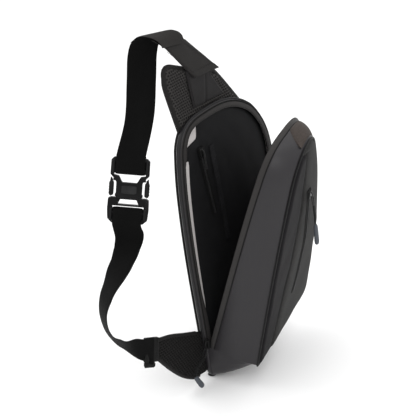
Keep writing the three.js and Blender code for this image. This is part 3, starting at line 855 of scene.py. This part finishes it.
def build_floor():
    """The wall below the fold: its rear edge meets the back and its front edge meets the shell in its open
    position.
    """
    rows = 14
    rings = []
    for k, i in enumerate(BELOW):
        ends = min(k, len(BELOW) - 1 - k)
        a, b = rear[i], front[i]
        a_in, b_in = inset_rear[WALL][i], inset_front[WALL][i]
        deep = shell_depth(b.y) + 0.9
        outer, inner = [], []
        for r in range(rows + 1):
            t = r / rows
            puff = 3.0 * math.sin(math.pi * t) * min(ends / 6, 1)
            start, end = Vector((a.x, -0.6, a.y)), opened((b.x, deep, b.y))
            p = start.lerp(end, t)
            away = (Vector((a.x, 0, a.y)) - Vector((a_in.x, 0, a_in.y))).normalized()
            p = p + away * puff
            outer.append(place(p))
            inner_end = opened((b_in.x, deep, b_in.y))
            inner.append(place(Vector((a_in.x, -0.6, a_in.y)).lerp(inner_end, t) + away * puff))
        rings.append(outer + inner[::-1])
    obj = skin("floor_gusset", rings, [SATIN, INSIDE], cols_of=lambda c: 0 if c < rows else 1)
    out = OPENING @ Vector((0, -1, 0))
    start, end = place(MOUTH_LOW + out * 46), place(MOUTH_LOW + out * 61)
    finish_piece(obj, None, "lower_gusset", blend=("back", "shell", start, end))

    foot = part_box("base_patch")
    size, middle = (foot[1] - foot[0]) / MM, (foot[1] + foot[0]) / 2 / MM
    corners = [
        (middle.x - BAG_CENTRE_X + sx * size.x / 2, middle.y + (2.5 + sy * (size.y / 2 - 2.5)), 4)
        for sx, sy in ((-1, -1), (1, -1), (1, 1), (-1, 1))
    ]
    shape, _ = outline(corners)
    upright = lambda p: place((p[0], p[2], p[1]))
    patch = pillow("foot_patch", shape, 3, level(0.0), padded_face(1.2, 0.8, 4), TAB_WEB, to_frame=upright)
    finish_piece(patch, "back", "base_patch")


# ---- Yoke, flap and wing ----
def build_yoke():
    top, end = STARTS[PEAK_CORNER] + 4, STARTS[6] + CURVE_STEPS // 2
    collar = [p.copy() for p in inset_rear[3][top:end]]
    right_end, corner, left_end = Vector((5, 422)), Vector((-100, 466)), Vector((-98.5, 430))
    a, b = corner.lerp(right_end, 0.17), corner.lerp(left_end, 0.55)
    turn = [a.lerp(corner, k / 8).lerp(corner.lerp(b, k / 8), k / 8) for k in range(9)]
    yoke = collar + [right_end] + [right_end.lerp(a, k / 6) for k in range(1, 6)] + turn + [left_end]

    faces = [padded_face(11, rise, 11, 30, 0.5, seed) for rise, seed in ((-5.2, 1), (5.2, 2))]
    obj = pillow("yoke_mesh", yoke, 3.6, *faces, AIR_MESH)
    pad(obj, 2.5, 2, 2)
    finish_piece(obj, "back", "yoke_pad")

    edge = inset(yoke, 1.4)
    free = edge[len(collar) - 1:] + edge[:1]
    free = curve(free, 90, 11)
    tape = tube("yoke_edge_tape", [place(p) for p in free], 3.9 * MM, BINDING, 16, squash=0.8)
    finish_piece(tape, "back", "yoke_binding")

    strip = [Vector(p) for p in ((-54, 393), (10, 393), (-14, 429), (-62, 448))]

    def strip_face(x, z, d):
        crease = groove(x + 30 - (z - 392) * 0.14, 1.6)
        return 5.0 - 1.3 * rounded(d, 3) + crease + ripple(x, z, 18, 0.5, 5)

    obj = pillow("yoke_strip", strip, 2.0, strip_face, level(5.5), STRIP)
    finish_piece(obj, "back", "yoke_centre_strip")
    for side, inward, ends in (("left", 3, (strip[0], strip[3])), ("right", -3, (strip[1], strip[2]))):
        sew("yoke_stitch_" + side, place_outline([p + Vector((inward, 0)) for p in ends], 3.5), "back")

    flap = [Vector(p) for p in ((-108, 500), (-67, 496), (1, 432), (-50, 434))]

    def fold_back(z):
        return 10 * np.clip((z - 487) / 12, 0, 1.1) ** 1.5

    def flap_face(x, z, d):
        hem = 1.1 * np.clip((442 - z) / 1.5, 0, 1)
        return 1.4 - 0.9 * rounded(d, 3) - hem + ripple(x, z, 25, 0.5, 6) + fold_back(z)

    def flap_rear(x, z, d):
        return 3.4 - 0.3 * (1 - rounded(d, 3)) + fold_back(z)

    obj = pillow("flap", flap, 2.2, flap_face, flap_rear, FLAP)
    finish_piece(obj, "back", "strap_flap")
    rows = [
        (Vector((-98, 484)), Vector((-48, 439))), (Vector((-62, 485)), Vector((-7, 438.5))),
        (Vector((-52, 442.5)), Vector((-12, 442.5))),
    ]
    for k, ends in enumerate(rows):
        sew("flap_stitch_%d" % k, place_outline(ends, 0.1), "back")


def build_wing():
    corners = [
        (-175, 108, 3), (-150, 102, 30), (-86, 75, 3), (-86, 10.5, 3), (-113, 13, 14), (-137, 29, 20),
        (-160, 52, 25), (-181, 80, 4),
    ]
    wing, _ = outline(corners)

    faces = [padded_face(y, rise, 9, 24, 0.5, seed) for y, rise, seed in ((9.8, -3.6, 4), (10.2, 3.6, 7))]
    # The wing is drawn in the darker copy of the air mesh, which is painted shade.
    obj = pillow("wing_mesh", wing, 3.6, *faces, SHADED_WING_MESH)
    pad(obj, 2.5, 2, 2)
    finish_piece(obj, "back", "wing_pad")
    upper = [(-174, 106.5), (-150, 99.5), (-122, 87.5), (-101, 79)]
    lower = [(-104, 13.5), (-115, 15.5), (-137, 30.5), (-159, 53.5), (-179, 79)]
    for name, ends in (("wing_binding_upper", upper), ("wing_binding_lower", lower)):
        line = [place(p) for p in curve(ends, 40, 10)]
        finish_piece(tube(name + "_tape", line, 2.9 * MM, BINDING, 14, squash=0.85), "back", name)
    tab = [Vector(p) for p in ((-199, 122), (-174, 111), (-181, 78), (-206, 88))]
    faces = padded_face(8.2, -1.1, 4, 12, 0.5, 9), padded_face(12.2, 1.0, 4)
    obj = pillow("wing_end_tab", tab, 2.0, *faces, TAB_WEB)
    roll = [Vector(p) for p in ((-206, 89), (-187, 80), (-190, 72.5), (-208, 81))]
    faces = padded_face(10.0, -3.4, 3.2), padded_face(10.0, 3.4, 3.2)
    finish_piece(pillow("wing_tab_roll", roll, 1.6, *faces, TAB_WEB), "back")
    finish_piece(obj, "back", "wing_tab")
    for k, share in enumerate((0.66, 0.86)):
        a, b = tab[0].lerp(tab[1], share), tab[3].lerp(tab[2], share)
        sew("wing_tab_stitch_%d" % k, place_outline((a.lerp(b, 0.08), a.lerp(b, 0.92)), 7.0), "back")


# ---- The front shell ----
def wall_section(i, t0, t1, rows, thickness, bulge, lift=0.0):
    """One ring of the side wall: outer points from the zip to the seam, and the inner ones back."""
    outer, inner = [], []
    for r in range(rows + 1):
        t = r / rows
        y = t0 + (t1 - t0) * t
        puff = bulge * math.sin(math.pi * t) ** 0.7 if 0 < t < 1 else 0
        base = wall_at(i, y, lift)
        away = wall_at(i, y, lift - 1) - base
        sag = noise.noise(base / 34) * 1.1 * math.sin(math.pi * t)
        base = base + away * (puff + sag)
        outer.append(place_open(base))
        inner.append(place_open(base - away * thickness))
    return outer + inner[::-1]


def build_shell():
    rows = 20
    rings = [wall_section(i, -ZIP_START, -ZIP_START - ZIP_BAND, 4, WALL, 0.5) for i in MOUTH]
    obj = skin("mouth_band", rings, [BAND, TAPE], cols_of=lambda c: 0 if c < 4 else 1)
    finish_piece(obj, "shell", "shell_zip_tape")

    line = [place_open(wall_at(i, -ZIP_START - 0.2, 0.9)) for i in MOUTH]
    coil("mouth_coil", line, OPENING @ -FRONTWARD, TAPE, "shell", height=0.5)

    groove = [place_open(wall_at(i, -ZIP_START - ZIP_BAND - 0.1, -0.3)) for i in MOUTH]
    finish_piece(tube("mouth_groove_cord", groove, 0.75 * MM, TAPE, 8), "shell")

    first = -ZIP_START - ZIP_BAND - 0.2
    wall = [wall_section(i, first, shell_depth(front[i].y) + 1.8, rows, WALL, 3.2) for i in MOUTH]
    obj = skin("side_gusset", wall, [SATIN, INSIDE], cols_of=lambda c: 0 if c < rows else 1)
    finish_piece(obj, "shell", "shell_gusset")

    peak = STARTS[PEAK_END]
    patch = []
    for i in range(peak - PEAK_LEAD, peak + CURVE_STEPS + 3):
        seam_end = shell_depth(front[i].y) + 4.5
        share = min(max((i - peak + PEAK_LEAD + 1) / (PEAK_LEAD + 1), 0.1), 1)
        start = seam_end + (first - 0.6 - seam_end) * share
        patch.append(wall_section(i, start, seam_end, 12, 1.0, 3.3, -1.5))
    # The peak patch is lighter than the satin, partly as a painted highlight on the upward-facing top.
    finish_piece(skin("peak_patch", patch, PATCH_WITH_HIGHLIGHT), "shell", "top_patch")
    build_front()


def build_front():
    split = STARTS[PEAK_CORNER] + CURVE_STEPS - 1
    near = front[:split]
    far = [p for p in front[split - 1:] if p.y > FRONT_CORNERS[0][1] + 3 or p.x > SECOND_SEAM[-1][0]]
    seam = [p.xz for p in curve(SECOND_SEAM, 60)]
    depth = np.vectorize(shell_depth)

    def dome(height, reach, seed):
        raised = padded_face(1.6, -3.4 - height, reach, 45, 1.0, seed)
        return lambda x, z, d: depth(z) + raised(x, z, d)

    def panel(name, shape, face, cloth, node):
        """Sews one panel and returns its edge."""
        edge = inset(shape, -0.3)
        behind = lambda x, z, d: depth(z) + 2.6
        obj = pillow(name, edge, 3.2, face, behind, [cloth, INSIDE], to_frame=place_open)
        finish_piece(obj, "shell", node)
        return np.array([tuple(p) for p in edge])

    panel("front_border_cloth", near + seam, dome(1.2, 9, 11), BORDER, "front_border")
    panel_face = dome(3.0, 20, 12)
    panel_edge = panel("front_panel_cloth", far + seam[::-1], panel_face, FRONT, "front_panel")

    bead = inset_front[-PIPING + 0.4]
    line = [place_open((p.x, shell_depth(front[i].y) + 1.0, p.y)) for i, p in enumerate(bead)]
    cord = tube("front_seam_cord", line, PIPING * MM, PIPING_CLOTH, loop=True)
    finish_piece(cord, "shell", "front_piping")

    line = [place_open((p.x, shell_depth(p.y) - 0.4, p.y)) for p in seam[2:-2]]
    finish_piece(tube("second_seam_cord", line, 0.9 * MM, PIPING_CLOTH, 8), "shell")
    for k, shift in enumerate((-3.5, 3.5)):
        line = [place_open((p.x + shift, shell_depth(p.y) - 2.9, p.y)) for p in seam[6:-6]]
        sew("second_seam_stitch_%d" % k, line, "shell")

    path = curve(POCKET_ZIP, 80)
    at_edge = edge_distance(np.array([(p.x, p.z) for p in path]), panel_edge)
    surface = panel_face(np.array([p.x for p in path]), np.array([p.z for p in path]), at_edge)
    out, across = OPENING @ FRONTWARD, OPENING @ Vector((1, 0, 0.12))
    middle = [opened((p.x, float(y) - 0.6, p.z)) for p, y in zip(path, surface)]
    tape = ribbon("pocket_zip_cloth", [(p, across) for p in middle], 10, 1.0, TAPE_BAND)
    finish_piece(tape, "shell", "pocket_zip_tape")
    coil("pocket_zip_coil", [place(p + out * 0.7) for p in middle], out, PLASTIC, "shell", 1.9, 0.7)
    for name, reach in (("left", -5), ("right", 5)):
        lip = [place(p + across.normalized() * reach - out * 0.2) for p in middle]
        finish_piece(tube("pocket_zip_lip_" + name, lip, 0.9 * MM, FRONT, 8), "shell")


# ---- Strap ----
BUCKLE_CENTRE = Vector((-151, 47, 309))
BUCKLE_SHARE = 0.87
LAP = 5.2  # from the bar's middle to the webbing on each side of it
HIGHLIGHT_LIFT = 1.5  # from the webbing's middle to the middle of the lighter band laid over its folded end, a painted highlight
FACE = Vector((0.61, -0.79, 0))
TURN = Vector((-0.79, -0.61, 0))
BUCKLE_UP = Vector((0.29, 0, 0.957)).normalized()
BUCKLE_ACROSS = (FACE - BUCKLE_UP * FACE.dot(BUCKLE_UP)).normalized()
BUCKLE_NORMAL = BUCKLE_UP.cross(BUCKLE_ACROSS)


def in_buckle(x, y, z):
    """A point in the buckle's own frame: across, through and up."""
    return BUCKLE_CENTRE + BUCKLE_ACROSS * x + BUCKLE_NORMAL * y + BUCKLE_UP * z * BUCKLE_SHARE


def lean(a, b, c):
    """A width direction of the strap, from the way it faces, its turn and up."""
    return FACE * a + TURN * b + Vector((0, 0, c))


def band(name, loop_points, run, width=38, thickness=1.6):
    """Webbing that goes round its buckle's bar and then along a run of (point, width direction)."""
    stations = [(in_buckle(0, y, z), BUCKLE_ACROSS) for y, z in loop_points]
    stations += [(Vector(at), across) for at, across in run]
    path = spline([at for at, _ in stations], 150)
    lengths = distances([at for at, _ in stations])
    result = []
    for k, p in enumerate(path):
        s = lengths[-1] * k / (len(path) - 1)
        j = max(i for i, value in enumerate(lengths) if value <= s + 1e-6)
        j = min(j, len(stations) - 2)
        share = (s - lengths[j]) / max(lengths[j + 1] - lengths[j], 1e-6)
        share = share * share * (3 - 2 * share)
        result.append((p, stations[j][1].normalized().lerp(stations[j + 1][1].normalized(), min(share, 1))))
    return ribbon(name, result, width, thickness, WEBBING)


def both_sides(lane, turn):
    """The webbing's loop round a bar: down one side, round at height turn and back up the other."""
    return lane + [(0, turn)] + [(-y, z) for y, z in reversed(lane)]


def build_strap():
    upper_loop = both_sides([(LAP, 50), (LAP, 39), (LAP, 28), (LAP * 0.75, 24.5)], 23.1)
    upper_run = [
        ((-119, 42, 397), lean(1, 0, 0)),
        ((-106, 42, 444), lean(1, 0, 0)),
        ((-99.5, 41, 475), lean(1, 0, 0.02)),
        ((-97, 34, 494), lean(1, 0, 0.05)),
        ((-94, 22, 503), lean(0.95, -0.2, 0.05)),
        ((-90, 9, 502), Vector((0.94, -0.25, -0.04))),
        ((-88, 1.0, 497), Vector((0.98, -0.1, -0.08))),
        ((-87, -0.9, 489), Vector((0.99, -0.02, -0.11))),
    ]
    upper = band("upper_strap", upper_loop, upper_run)
    sewn, held = place(upper_run[2][0]), place(BUCKLE_CENTRE + BUCKLE_UP * 50)
    finish_piece(upper, None, "upper_webbing", blend=("strap", "buckle_male", sewn, held))
    # A band of lighter flap cloth over the webbing's folded end: a painted highlight, where the top of the
    # fold is lit.
    folded = spline([at for at, _ in upper_run[3:]], 30)
    across = spline([side.normalized() * 100 for _, side in upper_run[3:]], 30)
    lifted = []
    for k, (at, side) in enumerate(zip(folded, across)):
        ahead = folded[min(k + 1, 30)] - folded[max(k - 1, 0)]
        lifted.append((at + ahead.cross(side).normalized() * HIGHLIGHT_LIFT, side))
    finish_piece(ribbon("strap_end_painted_highlight", lifted, 39, 1.0, FLAP), "strap")
    lower_loop = both_sides([(LAP, -53), (LAP, -43), (LAP, -33.2), (LAP * 0.75, -29.4)], -27.8)
    lower_run = [
        ((-166, 44, 248), lean(1, 0, 0)),
        ((-174, 45, 232), lean(0.9, 0.4, 0)),
        ((-187, 45, 218), lean(0.8, 0.6, 0)),
        ((-222, 43, 192), lean(0.43, 0.9, 0)),
        ((-240, 38, 172), lean(0.36, 0.93, 0.1)),
        ((-243, 30, 147), lean(0.3, 0.85, 0.35)),
        ((-230, 22, 126), lean(0.2, 0.7, 0.65)),
        ((-208, 9.5, 109), lean(0.05, 0.2, 0.95)),
        ((-191, 5.6, 100), Vector((0.2, 0, 0.95))),
    ]
    finish_piece(band("lower_strap", lower_loop, lower_run), "strap", "lower_webbing")


def soften(node, width_mm, material):
    """A moulded or cast CAD node keeps its shape and gets rounded edges."""
    obj = frame["nodes"][node]
    weld = obj.modifiers.new("weld", "WELD")
    weld.merge_threshold = 1e-6
    bevel = obj.modifiers.new("bevel", "BEVEL")
    bevel.width = width_mm * MM
    bevel.segments = 3
    bevel.limit_method = "ANGLE"
    bevel.angle_limit = math.radians(25)
    bevel.harden_normals = True
    obj.data.materials.clear()
    obj.data.materials.append(material)
    SLOT_OF[material.name]
    for p in obj.data.polygons:
        p.use_smooth = True


def squared(value):
    """Pushes a circle's cosine or sine outwards, towards a square with round corners."""
    return math.copysign(abs(value) ** 0.35, value)


def buckle_block(name, x, y, z, w, t, h, body, cut=0.6):
    """A small rounded block moulded onto the buckle: its middle and its size across, through and up."""
    rings = []
    for dy, shrink in ((-t / 2, cut), (-t / 2 + cut, 0), (t / 2 - cut, 0), (t / 2, cut)):
        half_w, half_h = w / 2 - shrink, h / 2 - shrink
        ring = [(x + squared(math.cos(q)) * half_w, z + squared(math.sin(q)) * half_h) for q in turns(24)]
        rings.append([place(in_buckle(a, y + dy, b)) for a, b in ring])
    finish_piece(skin(name, rings, PLASTIC, smooth_angle=40), body)


# Blocks on both sides of the buckle: name, body, middle across and up, size across, through and up, rounding
MOULDED_PARTS = (
    ("male_rail_", "buckle_male", 21.8, 34.5, (5.6, 7.8, 22), 1.6),
    ("male_shoulder_", "buckle_male", 18.8, 14.9, (4.6, 5.6, 4.6), 1.0),
    ("male_heel_", "buckle_male", 16.6, -8.9, (3.0, 5.6, 4.2), 0.8),
    ("female_rail_", "strap", 22.0, -37.5, (6.0, 8.8, 19), 1.8),
)


def build_buckle():
    for part, round_mm in (("male", 0.7), ("female", 0.7), ("arm_left", 0.5), ("arm_right", 0.5)):
        soften("buckle_" + part, round_mm, PLASTIC)
    for face, side in (("front", -1), ("rear", 1)):
        buckle_block("male_tongue_" + face, 0, side * 3.2, 0, 20, 1.2, 13, "buckle_male")
        buckle_block("male_bar_" + face, 0, side * 3.1, 45.5, 40, 1.0, 3, "buckle_male")
        buckle_block("female_bar_" + face, 0, side * 3.7, -48.4, 38, 1.0, 2.6, "strap")
    buckle_block("male_tip", 0, 0, -12.4, 34, 5.0, 5.4, "buckle_male")
    for side, name in ((-1, "left"), (1, "right")):
        for part, body, across, up, size, cut in MOULDED_PARTS:
            buckle_block(part + name, side * across, 0, up, *size, body, cut=cut)
        arm = "arm_" + name
        buckle_block(arm + "_grip", side * 23.1, 0, 0.8, 6.2, 6.8, 21.5, arm, cut=1.4)
        for k in range(4):
            buckle_block("%s_rib_%d" % (arm, k), side * 26, 0, 7.4 - 4.6 * k, 1.0, 3.6, 1.8, arm, cut=0.3)


# ---- Sliders and pulls ----
def rib_grip(name, a, b, body, node, radius=4.1, steps=48):
    """A moulded grip: a tapered capsule with raised rings."""
    path = [a.lerp(b, k / steps) for k in range(steps + 1)]
    u, w = square_to((b - a).normalized())
    rings = []
    for k, p in enumerate(path):
        t = k / steps
        end = math.sqrt(max(1 - (abs(t * 2 - 1)) ** 8, 0.03))
        rib = 0.22 * (1 if 0.22 < t < 0.82 and math.sin(t * 58) > 0.1 else 0)
        size = (radius * (0.82 + 0.18 * t) * end + rib) * MM
        rings.append([p + (u * math.cos(q) * size + w * math.sin(q) * size * 0.72) for q in turns(20)])
    finish_piece(skin(name, rings, RUBBER, smooth_angle=45), body, node)


def build_pull(prefix, body, hook, chain, grip_to, spread):
    """A metal ring on the slider, a doubled cord and the grip it ends in."""
    ring_mid = hook.lerp(chain[0], 0.5)
    along = (chain[0] - hook).normalized()
    side = spread.normalized()
    half = (chain[0] - hook).length / 2 * 0.98
    ring = [place(ring_mid + along * math.cos(q) * half + side * math.sin(q) * 3.4) for q in turns(28)]
    finish_piece(tube(prefix + "_loop", ring, 0.75 * MM, METAL, 8, loop=True), body, prefix + "_ring")
    top = chain[0] - along * 1.4
    last = chain[-1]
    down = []
    for sign in (1, -1):
        spread_points = [(top, 0.7), (chain[0], 1.5)] + [(p, 1.6) for p in chain[1:-1]] + [(last, 0.9)]
        line = [p + side * sign * out for p, out in spread_points]
        down.append(line if sign > 0 else line[::-1])
    loop = [place(p) for p in even(spline(down[0], 30) + spline(down[1], 30), 90, loop=True)]
    finish_piece(tube(prefix + "_cord_loop", loop, 0.95 * MM, CORD, 8, loop=True), body, prefix + "_cord")
    start = last + (grip_to - last).normalized() * 0.2
    rib_grip(prefix + "_grip_rubber", place(start), place(grip_to), body, prefix + "_grip")


def joint(name):
    """A joint's place, in bag millimetres, and its axis."""
    found = next(j for j in frame["joints"] if j["name"] == name)
    return Vector(found.get("pos_m", (0, 0, 0))) / MM - Vector((BAG_CENTRE_X, 0, 0)), Vector(found["axis"])


def build_pulls():
    for node in ("main_slider", "pocket_slider", "inner_slider"):
        soften(node, 0.9, METAL)
    hook, _ = joint("main_pull_swing")
    chain = [Vector((-110, -8, 49)), Vector((-125, -9, 43)), Vector((-133, -9, 32))]
    build_pull("main_pull", "main_pull", hook, chain, Vector((-125, -14, 13)), Vector((0.3, 1, 0)))
    hook, _ = joint("pocket_pull_swing")
    chain = [hook + Vector((-1, -1.5, -15)), hook + Vector((-1, -2, -27)), hook + Vector((-1, -2, -41))]
    build_pull("pocket_pull", "pocket_pull", hook, chain, hook + Vector((-1, -2, -72)), Vector((1, 0.3, 0)))
    hook, _ = joint("inner_pull_swing")
    tail = hook + Vector((1, -0.5, -22))
    points = [hook, hook.lerp(tail, 0.25), hook.lerp(tail, 0.8), tail]
    line = [place(p) for p in spline(points, 20)]
    finish_piece(tube("inner_tab", line, 1.4 * MM, METAL, 12), "inner_pull", "inner_pull")
    for name, body, along, out in (
        ("main", "main_slider", joint("main_zip")[1], Vector((-1, 0, -0.065))),
        ("pocket", "pocket_slider", joint("pocket_zip")[1], OPENING @ Vector((0, -1, 0))),
        ("inner", "inner_slider", joint("inner_zip")[1], Vector((0, -1, 0))),
    ):
        low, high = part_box(name + "_slider")
        middle = (low + high) / 2
        arch = []
        for k in range(13):
            q = math.pi * k / 12
            rise = out.normalized() * (1.8 + math.sin(q) * 2.6)
            arch.append(middle + (along * math.cos(q) * 4.6 + rise) * MM)
        finish_piece(tube(name + "_slider_bridge", arch, 0.9 * MM, METAL, 10), body)


# ---- Stage ----
CAMERA_RIGHT = Vector((0.601, -0.793, -0.099))
CAMERA_BACK = Vector((-0.702, -0.583, 0.408))
CAMERA_TARGET = Vector((0.067, 0, 0.228))
CAMERA_DISTANCE = 1.8


def build_stage():
    data = bpy.data.cameras.new("photo_camera")
    camera = link("photo_camera", data)
    back = CAMERA_BACK.normalized()
    right = (CAMERA_RIGHT - back * CAMERA_RIGHT.dot(back)).normalized()
    up = back.cross(right)
    turn = Matrix((right, up, back)).transposed()
    camera.matrix_world = Matrix.Translation(CAMERA_TARGET + back * CAMERA_DISTANCE) @ turn.to_4x4()
    data.sensor_width = 36
    data.lens = 112.9
    data.shift_x = -0.0632
    data.shift_y = 0.0005
    bpy.context.scene.camera = camera
    bpy.context.scene.view_settings.view_transform = "Standard"

    mesh = bpy.data.meshes.new("floor")
    reach = 12  # metres from the bag to the floor's edge
    corners = [(x * reach, y * reach, 0) for x, y in ((-1, -1), (1, -1), (1, 1), (-1, 1))]
    mesh.from_pydata(corners, [], [(0, 1, 2, 3)])
    floor = link("floor", mesh)
    floor.location.z = -0.0005
    paint = bpy.data.materials.new("pale_floor")
    paint.use_nodes = True
    shader = paint.node_tree.nodes["Principled BSDF"]
    shader.inputs["Base Color"].default_value = (0.93, 0.93, 0.93, 1)
    shader.inputs["Roughness"].default_value = 0.9
    mesh.materials.append(paint)

    world = bpy.data.worlds.new("studio")
    bpy.context.scene.world = world
    world.use_nodes = True
    sky = world.node_tree.nodes["Background"].inputs
    sky["Color"].default_value = (1, 1, 1, 1)
    sky["Strength"].default_value = 1.0
    lamps = (
        ("key", (-1.4, -1.6, 1.9), 1.4, 16),
        ("top", (0.2, -0.2, 2.4), 1.8, 12),
        ("side", (1.5, -1.4, 1.0), 1.0, 8),
        ("back", (-0.6, 1.6, 1.6), 1.2, 6),
    )
    aim = Vector((0.03, 0, 0.25))
    for name, at, size, power in lamps:
        lamp = bpy.data.lights.new(name, "AREA")
        lamp.size = size
        lamp.energy = power
        obj = link(name, lamp)
        obj.location = at
        obj.rotation_euler = (aim - Vector(at)).to_track_quat("-Z", "Y").to_euler()


build_back()
build_yoke()
build_wing()
build_shell()
build_strap()
build_buckle()
build_pulls()
simulate_pads()
for piece, _, _, levels in padded:
    refine(piece, levels)
    if levels:
        punch_holes(piece)
        shade(piece.data, 60)
build_stage()

bpy.context.view_layer.update()
